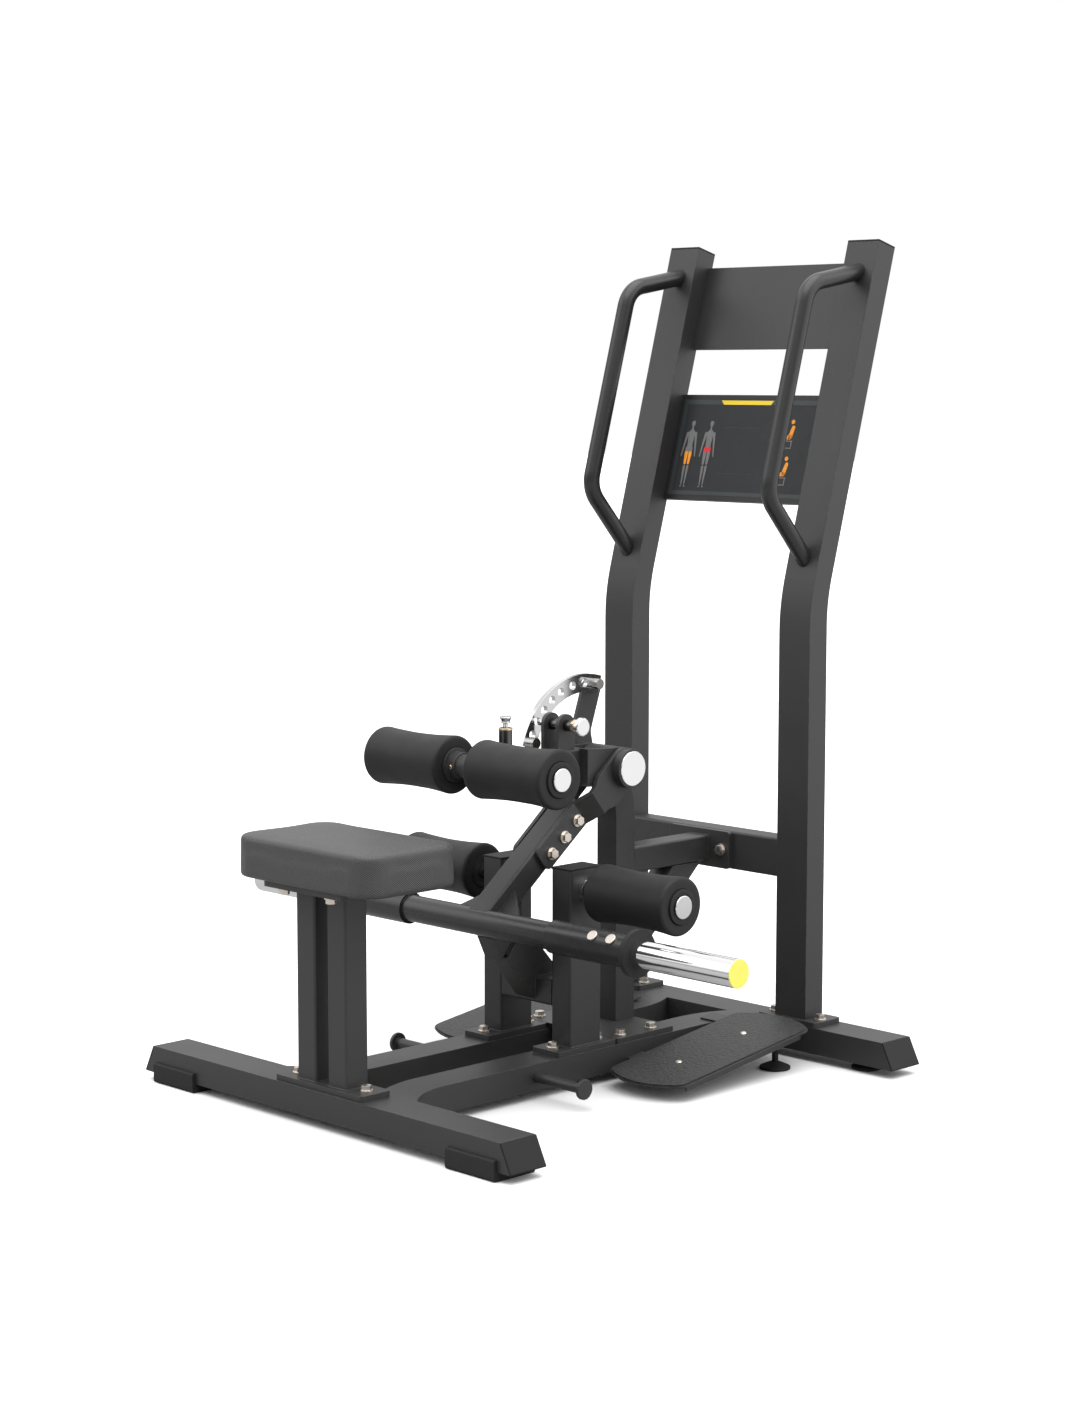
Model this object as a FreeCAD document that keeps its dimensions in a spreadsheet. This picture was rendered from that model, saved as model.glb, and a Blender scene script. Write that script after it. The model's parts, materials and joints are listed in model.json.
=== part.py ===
import FreeCAD, Part
import math
import os
import re
import Sketcher

# Standing hip thrust machine, plate loaded.
# Frame of the part: +Z up, the user's side is -Y, X = 0 is the plane of symmetry and
# the origin is on the floor under the middle of the outline.

os.makedirs("parts", exist_ok=True)
doc = FreeCAD.newDocument("hip_thrust_machine")
V = FreeCAD.Vector

# ---------------------------------------------------------------- driving dimensions

SIZES = {
    # Base frame.
    "outline_middle": 603, "floor_to_beam": 16, "beam_depth": 80, "beam_height": 50,
    "beam_wall": 3, "beam_inset": 6, "front_half_top": 460, "front_half_floor": 485,
    "front_beam_front": 7, "rear_beam_front": 984, "cap_thick": 4,
    "shoe_start": 338, "shoe_length": 117,
    "rail_inner": 53, "rail_width": 75, "rail_bend": 150, "rail_reach": 108, "plate": 10,
    # Tubes.
    "square_tube": 50, "tall_tube": 80, "wide_tube": 75, "tube_wall": 2.5, "tube_corner": 5,
    # Seat.
    "seat_post_inner": 16, "seat_post_top": 415.5, "mount_plate": 10, "seat_width": 369,
    "seat_depth": 223.5, "seat_front": -31, "seat_bottom": 425.5, "seat_thick": 78.5,
    "seat_corner": 46,
    # Lower posts and the catch between them.
    "post_inner": 65.5, "post_front": 515, "post_top": 401, "stop_beam_up": 146,
    "catch_angle": 51.2, "catch_front": 443, "catch_up": 239, "catch_width": 71.8,
    "bumper_thick": 5.5,
    # Column, pivot and brace.
    "pivot_back": 720, "pivot_up": 566, "pivot_radius": 38, "pivot_half": 32,
    "column_front": 727.5, "column_lean": 37.4, "column_bend": 158, "column_knee": 523.5,
    "shaft_radius": 15, "shaft_half": 74, "bush_radius": 28, "bush_length": 20,
    "running_gap": 0.05, "collar_radius": 37, "inner_collar": 8.5, "outer_collar": 8,
    "left_collar": 2.5, "brace_low": 355, "brace_length": 208,
    # Uprights.
    "upright_inner": 192, "upright_front": 996, "lean": 15.6, "bend_up": 867.4,
    "bend_radius": 350, "upright_run": 697, "crossbar_low": 342, "panel_thick": 4,
    "placard_thick": 12, "face_thick": 2, "face_border": 10,
    "handle_radius": 16, "handle_wall": 2.5, "handle_out": 230,
    # Foot plates and levelling feet.
    "foot_tilt": 7.8, "foot_inner": 145, "foot_outer": 333, "foot_up": 49.5, "foot_sheet": 3,
    "tread_thick": 3, "tread_border": 4, "foot_lip": 10, "lip_length": 316,
    "bracket_length": 122, "bracket_width": 40, "strap_length": 205, "strap_width": 35,
    "foot_boss": 12, "boss_height": 21, "level_stem": 6, "level_thread_gap": 0.05,
    # Rollers.
    "lower_axis_back": 556, "lower_axis_up": 363.6, "lower_roller_start": 156,
    "upper_axis_back": 373, "upper_axis_up": 595.7, "upper_roller_start": 37,
    # Weight lever.
    "lever_drop": 39, "arm_start": 112, "arm_length": 298, "gusset_plate": 8,
    "foot_width": 40, "tube_radius": 25, "sleeve_radius": 30, "sleeve_bore": 24.5,
    "sleeve_start": 190, "horn_start": 396, "horn_end": 622, "horn_bore": 21,
    "stop_radius": 42, "stop_thick": 10, "set_bolt": 4.9,
    # Sector and its bar.
    "sector_radius": 168, "sector_holes": 151, "sector_hole": 8, "sector_thick": 10,
    "sector_inboard": 53, "sector_band": 34, "sector_low": 16, "sector_high": 106,
    "bar_thick": 8, "bar_boss": 6, "pad_radius": 10.5, "stud_radius": 10,
    "stop_length": 24,
    # Pad lever.
    "yoke_inner": 35, "yoke_plate": 10, "web_thick": 7.5, "pad_arm_top": 607.5,
    "pad_arm_height": 70, "pad_arm_back": 630.5, "pad_arm_front": 440,
    "ear_thick": 8, "ear_inner": 15, "ear_half": 21, "pin_angle": 35.3,
    "pin_radius": 10.5, "pin_bore": 6.1, "barrel_start": 28, "barrel_length": 70,
    "pop_pin_back": 463, "pop_pin_radius": 12.5, "pop_plunger": 5, "pop_barrel": 51,
    # Pad carriage.
    "carriage_gap": 0.3, "carriage_back": 600, "carriage_front": 402, "hole_pitch": 25,
    "cross_radius": 21, "cross_half": 15, "axle_radius": 12.5, "cradle_depth": 21,
    "cradle_height": 40,
    # Bolts.
    "bolt_shank": 6, "bolt_head": 8, "bolt_washer": 11.5, "bolt_tall": 8, "hole_play": 0.3,
}

sheet = doc.addObject("Spreadsheet::Sheet", "dims")
for row, (alias, number) in enumerate(SIZES.items(), start=1):
    sheet.set(f"A{row}", alias)
    sheet.set(f"B{row}", str(number))
    sheet.setAlias(f"B{row}", alias)
doc.recompute()


def size(formula):
    """The number a formula of sheet words comes to."""
    words = {word: float(sheet.get(word)) for word in re.findall(r"[a-z_]+", formula)}
    total = re.sub(r"[a-z_]+", lambda found: repr(words[found.group(0)]), formula)
    return FreeCAD.Units.parseQuantity(total).Value


def bound(thing, path, formula):
    """Tie one property to the sheet."""
    thing.setExpression(path, re.sub(r"([a-z_]+)", r"dims.\1", formula))


OUTLINE_MIDDLE = size("outline_middle")
PIVOT = (size("pivot_back"), size("pivot_up"))
FLOOR_GAP = size("floor_to_beam")
BEAM_TOP = size("floor_to_beam + beam_height")
PLATE_TOP = BEAM_TOP + size("plate")
ABOVE_PLATES = "floor_to_beam - beam_height - plate"


def at(x, back, up):
    """A point from its distance behind the front shoes and above the floor."""
    return V(x, back - OUTLINE_MIDDLE, up)


# Turns that lay a piece's own Z along another direction.
UPRIGHT = FreeCAD.Rotation()
ACROSS = FreeCAD.Rotation(V(0, 1, 0), V(0, 0, 1), V(1, 0, 0), "ZXY")
FORWARD = FreeCAD.Rotation(V(1, 0, 0), V(0, 0, 1), V(0, -1, 0), "ZXY")

nodes = []


def keep(thing, label, spot=V(0, 0, 0), turn=UPRIGHT):
    """Make an object one of the sub-parts."""
    thing.Label = label
    thing.Placement = FreeCAD.Placement(spot, turn)
    nodes.append(thing)
    return thing


# ---------------------------------------------------------------- building blocks

def plane(body, role):
    return next(item for item in body.Origin.OriginFeatures if item.Role == role)


def sketch_on(body, role):
    sketch = body.newObject("Sketcher::SketchObject", "sketch")
    sketch.AttachmentSupport = [(plane(body, role), "")]
    sketch.MapMode = "FlatFace"
    return sketch


def rounded(points):
    """Lines and arcs round a closed outline; a third number rounds that corner."""
    corners = []
    for index, point in enumerate(points):
        here = V(point[0], point[1], 0)
        radius = point[2] if len(point) > 2 else 0
        before = points[index - 1]
        after = points[(index + 1) % len(points)]
        if radius == 0:
            corners.append((here, None, here))
            continue
        to_before = (V(before[0], before[1], 0) - here).normalize()
        to_after = (V(after[0], after[1], 0) - here).normalize()
        half = to_before.getAngle(to_after) / 2
        reach = radius / math.tan(half)
        middle = (to_before + to_after).normalize()
        apex = here + middle * (radius / math.sin(half) - radius)
        corners.append((here + to_before * reach, apex, here + to_after * reach))
    edges = []
    for index, (start, apex, end) in enumerate(corners):
        if apex is not None:
            edges.append(Part.Arc(start, apex, end))
        following = corners[(index + 1) % len(corners)][0]
        if end.distanceToPoint(following) > 1e-6:
            edges.append(Part.LineSegment(end, following))
    return edges


def circle(sketch, centre, formula):
    """A circle whose radius is tied to the sheet."""
    shape = Part.Circle(V(centre[0], centre[1], 0), V(0, 0, 1), size(formula))
    index = sketch.addGeometry(shape, False)
    number = sketch.addConstraint(Sketcher.Constraint("Radius", index, size(formula)))
    bound(sketch, f"Constraints[{number}]", formula)


def rectangle(sketch, wide, deep):
    """A rectangle about the sketch's origin, its sides tied to the sheet."""
    x = size(wide) / 2
    y = size(deep) / 2
    corners = [V(-x, -y, 0), V(x, -y, 0), V(x, y, 0), V(-x, y, 0)]
    first = sketch.GeometryCount
    for index in range(4):
        side = Part.LineSegment(corners[index], corners[(index + 1) % 4])
        sketch.addGeometry(side, False)
    for index in range(4):
        joined = (first + index, 2, first + (index + 1) % 4, 1)
        sketch.addConstraint(Sketcher.Constraint("Coincident", *joined))
        kind = "Horizontal" if index % 2 == 0 else "Vertical"
        sketch.addConstraint(Sketcher.Constraint(kind, first + index))
    sketch.addConstraint(Sketcher.Constraint("Symmetric", first, 1, first + 1, 2, -1, 1))
    wide_is = sketch.addConstraint(Sketcher.Constraint("DistanceX", first, 1, first, 2, 2 * x))
    deep_is = sketch.addConstraint(
        Sketcher.Constraint("DistanceY", first + 1, 1, first + 1, 2, 2 * y))
    bound(sketch, f"Constraints[{wide_is}]", wide)
    bound(sketch, f"Constraints[{deep_is}]", deep)


def padded(body, sketch, formula):
    pad = body.newObject("PartDesign::Pad", "pad")
    pad.Profile = sketch
    pad.Length = size(formula)
    bound(pad, "Length", formula)
    sketch.Visibility = False
    return pad


def tube(wide, deep, length, wall="tube_wall"):
    """A hollow rectangular section along its own Z."""
    body = doc.addObject("PartDesign::Body", "tube")
    sketch = sketch_on(body, "XY_Plane")
    rectangle(sketch, wide, deep)
    rectangle(sketch, f"{wide} - 2 * {wall}", f"{deep} - 2 * {wall}")
    pad = padded(body, sketch, length)
    doc.recompute()
    outer = [f"Edge{number}" for number, edge in enumerate(pad.Shape.Edges, start=1)
             if abs(abs(edge.CenterOfMass.x) - size(wide) / 2) < 1e-6
             and abs(abs(edge.CenterOfMass.y) - size(deep) / 2) < 1e-6]
    fillet = body.newObject("PartDesign::Fillet", "rounded_corners")
    fillet.Base = (pad, outer)
    fillet.Radius = size("tube_corner")
    bound(fillet, "Radius", "tube_corner")
    return body


def slab(role, points, thick, holes=()):
    """A flat piece: an outline and its round holes, padded by a sheet formula."""
    body = doc.addObject("PartDesign::Body", "slab")
    sketch = sketch_on(body, role)
    sketch.addGeometry(rounded(points), False)
    for across, along, radius in holes:
        circle(sketch, (across, along), radius)
    padded(body, sketch, thick)
    return body


def ring(outer, inner, length):
    """A round bush or tube along its own Z."""
    body = doc.addObject("PartDesign::Body", "ring")
    sketch = sketch_on(body, "XY_Plane")
    circle(sketch, (0, 0), outer)
    if inner:
        circle(sketch, (0, 0), inner)
    padded(body, sketch, length)
    return body


def turned(points):
    """A piece turned about its own Z from (radius, height) points."""
    body = doc.addObject("PartDesign::Body", "turned")
    sketch = sketch_on(body, "XZ_Plane")
    sketch.addGeometry(rounded(points), False)
    turn = body.newObject("PartDesign::Revolution", "revolution")
    turn.Profile = sketch
    turn.ReferenceAxis = (sketch, ["V_Axis"])
    turn.Angle = 360
    return body


def box(x, y, z, spot, turn=UPRIGHT):
    """A plain block from three sheet formulas, its corner at a spot."""
    block = doc.addObject("Part::Box", "block")
    for side, formula in zip(("Length", "Width", "Height"), (x, y, z)):
        bound(block, side, formula)
    block.Placement = FreeCAD.Placement(spot, turn)
    return block


def rod(radius, length, spot, turn=UPRIGHT):
    piece = doc.addObject("Part::Cylinder", "rod")
    bound(piece, "Radius", radius)
    bound(piece, "Height", length)
    piece.Placement = FreeCAD.Placement(spot, turn)
    return piece


def joined(*pieces):
    """One welded piece."""
    weld = doc.addObject("Part::MultiFuse", "weldment")
    weld.Shapes = list(pieces)
    return weld


def cut(base, *tools):
    """The base with each tool taken out of it."""
    for tool in tools:
        result = doc.addObject("Part::Cut", "cut")
        result.Base = base
        result.Tool = tool
        base = result
    return base


def group(*pieces):
    """Separate solids that share one node."""
    together = doc.addObject("Part::Compound", "group")
    together.Links = list(pieces)
    return together


def placed(thing, spot, turn=UPRIGHT):
    thing.Placement = FreeCAD.Placement(spot, turn)
    return thing


def mirrored(thing):
    """The same piece on the other side of the plane of symmetry."""
    twin = doc.addObject("Part::Mirroring", "mirrored")
    twin.Source = thing
    twin.Base = V(0, 0, 0)
    twin.Normal = V(1, 0, 0)
    return twin


def fasteners(spots, length, head="bolt_head", washer="bolt_washer"):
    """Hex bolts with washers; each spot is where the washer lands and which way it faces."""
    pieces = []
    for spot, out in spots:
        turn = FreeCAD.Rotation(V(0, 0, 1), out)
        shank = rod("bolt_shank", length, V(0, 0, 0))
        shank.Placement = FreeCAD.Placement(V(0, 0, -size(length)), UPRIGHT)
        disc = rod(washer, "tube_wall", V(0, 0, 0))
        hexagon = doc.addObject("Part::Prism", "hexagon")
        hexagon.Polygon = 6
        bound(hexagon, "Circumradius", head + " * 1.155")
        bound(hexagon, "Height", "bolt_tall")
        hexagon.Placement = FreeCAD.Placement(V(0, 0, size("tube_wall")), UPRIGHT)
        pieces.append(placed(joined(shank, disc, hexagon), spot, turn))
    return pieces


def drills(spots, length):
    """Holes for the shanks of fasteners."""
    pieces = []
    for spot, out in spots:
        turn = FreeCAD.Rotation(V(0, 0, 1), out)
        start = spot + turn.multVec(V(0, 0, -size(length)))
        pieces.append(rod("bolt_shank + hole_play", f"2 * ({length})", start, turn))
    return group(*pieces)


UP = V(0, 0, 1)
SIDES = ((1, "right"), (-1, "left"))


# ---------------------------------------------------------------- base frame

def beam(back):
    """A cross beam with slanting ends, open along its length."""
    top = size("front_half_top")
    floor = size("front_half_floor")
    up = size("beam_height")
    wall = size("beam_wall")
    outline = [(-floor, 0), (floor, 0), (top, up), (-top, up)]
    shell = placed(slab("XZ_Plane", outline, "beam_depth"),
                   at(0, back + size("beam_depth"), FLOOR_GAP))
    inside = box("2 * front_half_floor", "beam_depth - beam_inset", "beam_height - beam_inset",
                 at(-floor, back + wall, FLOOR_GAP + wall))
    return cut(shell, inside)


# Each levelling foot: across, behind the front shoes, and the top of its stem.
LEVELLERS = {
    "levelling_foot_rear_right": (395, 1024, 40),
    "levelling_foot_rear_left": (-395, 1024, 40),
    "levelling_foot_step_right": (276, 899, 64),
    "levelling_foot_step_left": (-276, 899, 64),
}
stem_holes = [rod("level_stem + level_thread_gap", "beam_height", at(x, back, 0))
              for label, (x, back, top) in LEVELLERS.items() if "rear" in label]
rail_bolts = [(at(side * 91, back, PLATE_TOP), UP) for side in (1, -1) for back in (494, 608)]
column_bolts = [(at(side * 107, back, PLATE_TOP), UP) for side in (1, -1) for back in (655, 737)]
seat_bolts = [(at(side * 90, 46, PLATE_TOP), UP) for side in (1, -1)]
upright_bolts = [(at(side * x, 1016, PLATE_TOP), UP) for side in (1, -1) for x in (175, 287)]
plate_bolts = rail_bolts + column_bolts + seat_bolts + upright_bolts
BOLT_LENGTH = "plate + beam_wall"

keep(cut(beam(size("front_beam_front")), drills(seat_bolts, BOLT_LENGTH)), "front_stabiliser")
keep(cut(beam(size("rear_beam_front")), group(*stem_holes), drills(upright_bolts, BOLT_LENGTH)),
     "rear_stabiliser")


def end_cap(back):
    """A plastic cap on a beam's slanting end."""
    top = size("front_half_top")
    floor = size("front_half_floor")
    thick = size("cap_thick")
    up = size("beam_height")
    outline = [(floor, 0, 2), (floor + thick, 0, 2), (top + thick, up, 2), (top, up, 2)]
    return placed(slab("XZ_Plane", outline, "beam_depth"),
                  at(0, back + size("beam_depth"), FLOOR_GAP))


beam_caps = [end_cap(size("front_beam_front")), end_cap(size("rear_beam_front"))]

shoe_outline = [(0, 0, 5), (94, 0, 5), (94, 36, 3), (87, 36), (87, 16), (7, 16), (7, 36),
                (0, 36, 3)]
shoe = placed(slab("YZ_Plane", shoe_outline, "shoe_length"), at(size("shoe_start"), 0, 0))
keep(group(shoe, mirrored(shoe)), "front_rubber_shoes")


def rail_outline(inset):
    """Plan of a rail: straight, and flaring outward to meet both beams."""
    front = size("front_beam_front + beam_depth")
    back = size("rear_beam_front")
    reach = size("rail_reach")
    edges = ((size("rail_inner + rail_width") - inset, size("rail_bend") + inset),
             (size("rail_inner") + inset, size("rail_bend + rail_width") - inset))
    plan = []
    for x, radius in edges:
        turn = math.asin(reach / radius)
        end = x + radius * (1 - math.cos(turn))
        knee = reach - radius * math.tan(turn / 2)
        plan.append([(end, front), (x, front + knee, radius), (x, back - knee, radius),
                     (end, back)])
    outer, inner = plan
    return outer + inner[::-1]


rail_shell = placed(slab("XY_Plane", rail_outline(0), "beam_height"), at(0, 0, FLOOR_GAP))
rail_wall = size("beam_wall")
rail_inside = placed(slab("XY_Plane", rail_outline(rail_wall), "beam_height - beam_inset"),
                     at(0, 0, FLOOR_GAP + rail_wall))
rail = cut(rail_shell, rail_inside, drills(rail_bolts + column_bolts, BOLT_LENGTH))
keep(rail, "rail_right")
keep(mirrored(rail), "rail_left")


def plate_on_beam(left, right, front, back, bolts):
    """A flat plate with rounded corners, drilled for its bolts."""
    outline = [(left, front, 6), (right, front, 6), (right, back, 6), (left, back, 6)]
    flat = placed(slab("XY_Plane", outline, "plate"), at(0, 0, BEAM_TOP))
    return cut(flat, drills(bolts, BOLT_LENGTH))


post_plate = plate_on_beam(56, 126, 474, 626, rail_bolts)
upright_plate = plate_on_beam(158, 301, 984, 1060, upright_bolts)
keep(group(plate_on_beam(-115, 115, 12, 80, seat_bolts),
           plate_on_beam(-126, 126, 628, 782, column_bolts),
           post_plate, mirrored(post_plate), upright_plate, mirrored(upright_plate)),
     "base_plates")
flange_bolts = [(at(side * 58, 986, 380), V(0, -1, 0)) for side in (1, -1)]
plate_fasteners = fasteners(plate_bolts, BOLT_LENGTH)
flange_fasteners = fasteners(flange_bolts, "plate + tube_wall")

# ---------------------------------------------------------------- seat

seat_posts = [placed(tube("square_tube", "square_tube", f"seat_post_top - {ABOVE_PLATES}"),
                     at(side * size("seat_post_inner + square_tube / 2"), 47, PLATE_TOP))
              for side in (1, -1)]
keep(group(*seat_posts), "seat_posts")
under_seat = [(at(x, back, size("seat_post_top")), V(0, 0, -1))
              for x in (-62, 62) for back in (-6, 100)]
seat_plate_outline = [(-110, -18, 12), (110, -18, 12), (110, 112, 12), (-110, 112, 12)]
seat_plate = placed(slab("XY_Plane", seat_plate_outline, "mount_plate"),
                    at(0, 0, size("seat_post_top")))
keep(cut(seat_plate, drills(under_seat, "mount_plate")), "seat_mount_plate")
half_seat = size("seat_width") / 2
seat_front = size("seat_front")
seat_back = seat_front + size("seat_depth")
corner = size("seat_corner")
seat_outline = [(-half_seat, seat_front, corner), (half_seat, seat_front, corner),
                (half_seat, seat_back, corner), (-half_seat, seat_back, corner)]
keep(slab("XY_Plane", seat_outline, "seat_thick"), "seat_pad", at(0, 0, size("seat_bottom")))

# ---------------------------------------------------------------- lower posts and catch

post = placed(tube("square_tube", "tall_tube", f"post_top - {ABOVE_PLATES}"),
              at(size("post_inner + square_tube / 2"), 555, PLATE_TOP))
keep(group(post, mirrored(post)), "lower_posts")

catch_tilt = math.radians(size("catch_angle"))
catch_low = (size("catch_front"), size("catch_up"))
catch_high = (catch_low[0] + size("catch_width") * math.cos(catch_tilt),
              catch_low[1] + size("catch_width") * math.sin(catch_tilt))
stop_beam = placed(tube("square_tube", "square_tube", "2 * post_inner"),
                   at(-size("post_inner"), 540, size("stop_beam_up + square_tube / 2")), ACROSS)
catch_outline = [catch_low, (516, 152), (516, 195.5), (564, 195.5), (564, 211), catch_high]
catch = placed(slab("YZ_Plane", catch_outline, "square_tube"), at(-size("square_tube / 2"), 0, 0))
keep(joined(stop_beam, catch), "stop_beam")
border = size("beam_inset")
bumper_start = at(-size("square_tube - beam_inset") / 2,
                  catch_low[0] + border * math.cos(catch_tilt),
                  catch_low[1] + border * math.sin(catch_tilt))
bumper = box("square_tube - beam_inset", "catch_width - 2 * beam_inset", "bumper_thick",
             bumper_start)
keep(bumper, "rest_bumper", bumper_start, FreeCAD.Rotation(V(1, 0, 0), size("catch_angle")))

# ---------------------------------------------------------------- column and pivot


def bent(back, low, knee, lean, radius, run, half):
    """A bar seen from the side: upright, one bend, then leaning; half is half its depth."""
    angle = math.radians(lean)
    side_by_side = []
    for side in (-1, 1):
        knee_up = knee + side * half * math.tan(angle / 2)
        turn = radius - side * half * (1 if lean > 0 else -1)
        end = (back + run * math.sin(angle) + side * half * math.cos(angle),
               knee + run * math.cos(angle) - side * half * math.sin(angle))
        side_by_side.append([(back + side * half, low), (back + side * half, knee_up, turn),
                             end])
    front, rear = side_by_side
    return front + rear[::-1]


def hub_cylinder(radius, thick, x):
    return rod(radius, thick, at(x, *PIVOT), ACROSS)


half_tube = size("square_tube / 2")
column_run = size("column_bend") * math.tan(math.radians(size("column_lean") / 2))
column_sides = []
for inset in (0, size("tube_wall")):
    outline = bent(size("column_front") + half_tube, PLATE_TOP, size("column_knee"),
                   -size("column_lean"), size("column_bend"), column_run, half_tube - inset)
    column_sides.append(placed(slab("YZ_Plane", outline, f"square_tube - {2 * inset}"),
                               at(inset - half_tube, 0, 0)))
keep(cut(*column_sides, hub_cylinder("pivot_radius", "beam_depth", -40)), "column")
keep(ring("pivot_radius", "bush_radius", "2 * pivot_half"), "pivot_tube",
     at(-size("pivot_half"), *PIVOT), ACROSS)
bush = placed(ring("bush_radius", "shaft_radius", "bush_length"),
              at(size("pivot_half - bush_length"), *PIVOT), ACROSS)
keep(group(bush, mirrored(bush)), "pivot_bushings")
SHAFT_HALF = size("shaft_half")
keep(ring("shaft_radius", "", "2 * shaft_half"), "pivot_shaft", at(-SHAFT_HALF, *PIVOT), ACROSS)
collars = [placed(ring("collar_radius", "shaft_radius", width), at(x, *PIVOT), ACROSS)
           for width, x in (("inner_collar", 57.3), ("outer_collar", 66),
                            ("left_collar", -SHAFT_HALF))]
keep(group(*collars), "shaft_collars")
cap_outline = [(0, 0), (33, 0), (33, 2.5, 1.5), (0, 2.5)]
shaft_cap = placed(turned(cap_outline), at(SHAFT_HALF, *PIVOT), ACROSS)
keep(group(shaft_cap, mirrored(shaft_cap)), "shaft_caps")

brace_up = size("brace_low + square_tube / 2")
brace = placed(tube("square_tube", "square_tube", "brace_length"), at(0, 986, brace_up), FORWARD)
flange_outline = [(-78, 343, 6), (78, 343, 6), (78, 416, 6), (-78, 416, 6)]
flange = placed(slab("XZ_Plane", flange_outline, "plate"), at(0, 996, 0))
strut_shell = placed(slab("YZ_Plane", [(777.5, 181), (963, 355), (886, 355), (777.5, 249)],
                          "square_tube"), at(-half_tube, 0, 0))
strut_inside = placed(slab("YZ_Plane", [(777.5, 185), (959, 355), (890, 355), (777.5, 245)],
                           "square_tube - 2 * tube_wall"),
                      at(size("tube_wall") - half_tube, 0, 0))
keep(group(cut(joined(brace, flange), drills(flange_bolts, "plate")),
           cut(strut_shell, strut_inside)), "column_brace")

# ---------------------------------------------------------------- uprights

upright_sides = []
for inset in (0, size("tube_wall")):
    outline = bent(size("upright_front") + half_tube, PLATE_TOP, size("bend_up"), size("lean"),
                   size("bend_radius"), size("upright_run"), half_tube - inset)
    upright_sides.append(placed(slab("YZ_Plane", outline, f"wide_tube - {2 * inset}"),
                                at(size("upright_inner") + inset, 0, 0)))
upright = cut(*upright_sides)
keep(upright, "upright_right")
keep(mirrored(upright), "upright_left")

LEAN = FreeCAD.Rotation(V(1, 0, 0), -size("lean"))
KNEE = at(0, size("upright_front") + half_tube, size("bend_up"))


def leaning(x, forward, along):
    """A point of the leaning part, from the bend's corner: across, behind, and up along it."""
    return KNEE + LEAN.multVec(V(x, forward, along))


post_cap = box("square_tube", "tall_tube", "cap_thick",
               at(size("post_inner"), size("post_front"), size("post_top")))
upright_cap = box("wide_tube", "square_tube", "cap_thick",
                  leaning(size("upright_inner"), -half_tube, size("upright_run")), LEAN)
keep(group(*[cap for right in (*beam_caps, post_cap, upright_cap)
             for cap in (right, mirrored(right))]), "tube_end_caps")

crossbar_turn = FreeCAD.Rotation(V(0, 0, 1), V(0, -1, 0), V(1, 0, 0), "ZXY")
crossbar = placed(tube("wide_tube", "square_tube", "2 * upright_inner"),
                  at(-size("upright_inner"), size("upright_front") + half_tube,
                     size("crossbar_low + wide_tube / 2")), crossbar_turn)
keep(cut(crossbar, drills(flange_bolts, "plate + tube_wall")), "upright_crossbar")


def panel(low, tall, forward, inset, thick):
    """A flat panel between the uprights, lying in their lean."""
    half = size("upright_inner") - inset
    outline = [(-half, 0), (half, 0), (half, tall), (-half, tall)]
    return placed(slab("XZ_Plane", outline, thick), leaning(0, forward, low), LEAN)


back_panel = panel(500, 169, 19.5, 0, "panel_thick")
keep(back_panel, "back_panel", back_panel.Placement.Base, LEAN)
BORDER = size("face_border")
housing = panel(192, 214, 24, 0, "placard_thick")
recess = panel(192 + BORDER, 214 - 2 * BORDER, 14, BORDER, "face_thick")
keep(cut(housing, recess), "placard_housing")
face = panel(192 + BORDER, 214 - 2 * BORDER, 14, BORDER, "face_thick")
keep(face, "placard_face", face.Placement.Base, LEAN)


def open_path(points):
    """Lines and tangent arcs through the corners of an open path."""
    edges = rounded(points)
    start = V(points[0][0], points[0][1], 0)
    end = V(points[-1][0], points[-1][1], 0)
    closing = {(round(start.x, 4), round(start.y, 4)), (round(end.x, 4), round(end.y, 4))}

    def ends(edge):
        return {(round(spot.x, 4), round(spot.y, 4)) for spot in (edge.StartPoint, edge.EndPoint)}

    return [edge for edge in edges if ends(edge) != closing]


def handle():
    """A round bar that leaves the upright's face, drops, and comes back to it."""
    route = [(1192, 1492.3), (1022.5, 1463, 55), (912.5, 1073, 55), (1028, 944.7)]
    start = route[0]
    heading = math.atan2(route[0][1] - route[1][1], route[0][0] - route[1][0])
    local = []
    for spot in route:
        back = spot[0] - start[0]
        up = spot[1] - start[1]
        turned_back = back * math.cos(heading) + up * math.sin(heading)
        turned_up = up * math.cos(heading) - back * math.sin(heading)
        local.append((turned_back, turned_up) + tuple(spot[2:]))
    body = doc.addObject("PartDesign::Body", "handle")
    path = sketch_on(body, "YZ_Plane")
    path.addGeometry(open_path(local), False)
    section = sketch_on(body, "XZ_Plane")
    circle(section, (0, 0), "handle_radius")
    circle(section, (0, 0), "handle_radius - handle_wall")
    pipe = body.newObject("PartDesign::AdditivePipe", "pipe")
    pipe.Profile = section
    pipe.Spine = (path, [])
    doc.recompute()
    placed(body, at(size("handle_out"), *start),
           FreeCAD.Rotation(V(1, 0, 0), math.degrees(heading)))
    trim = box("wide_tube", "square_tube", "upright_run",
               leaning(size("upright_inner"), -half_tube, 20), LEAN)
    return cut(body, trim)


grip = handle()
keep(grip, "handle_right")
keep(mirrored(grip), "handle_left")

# ---------------------------------------------------------------- foot plates

TILT = FreeCAD.Rotation(V(1, 0, 0), size("foot_tilt"))
STEP = at(0, 700, size("foot_up"))


def stepped(x, along, up):
    """A point of the tilted step: across, back along it, and up from its tread."""
    return STEP + TILT.multVec(V(x, along, up))


def step_outline(inset):
    inner = size("foot_inner") + inset
    outer = size("foot_outer") - inset
    middle = (inner + outer) / 2
    return [(inner, -116, 25), (middle, -174 + inset, 150), (outer, -116, 25),
            (outer, 231, 25), (middle, 289 - inset, 150), (inner, 231, 25)]


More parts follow.
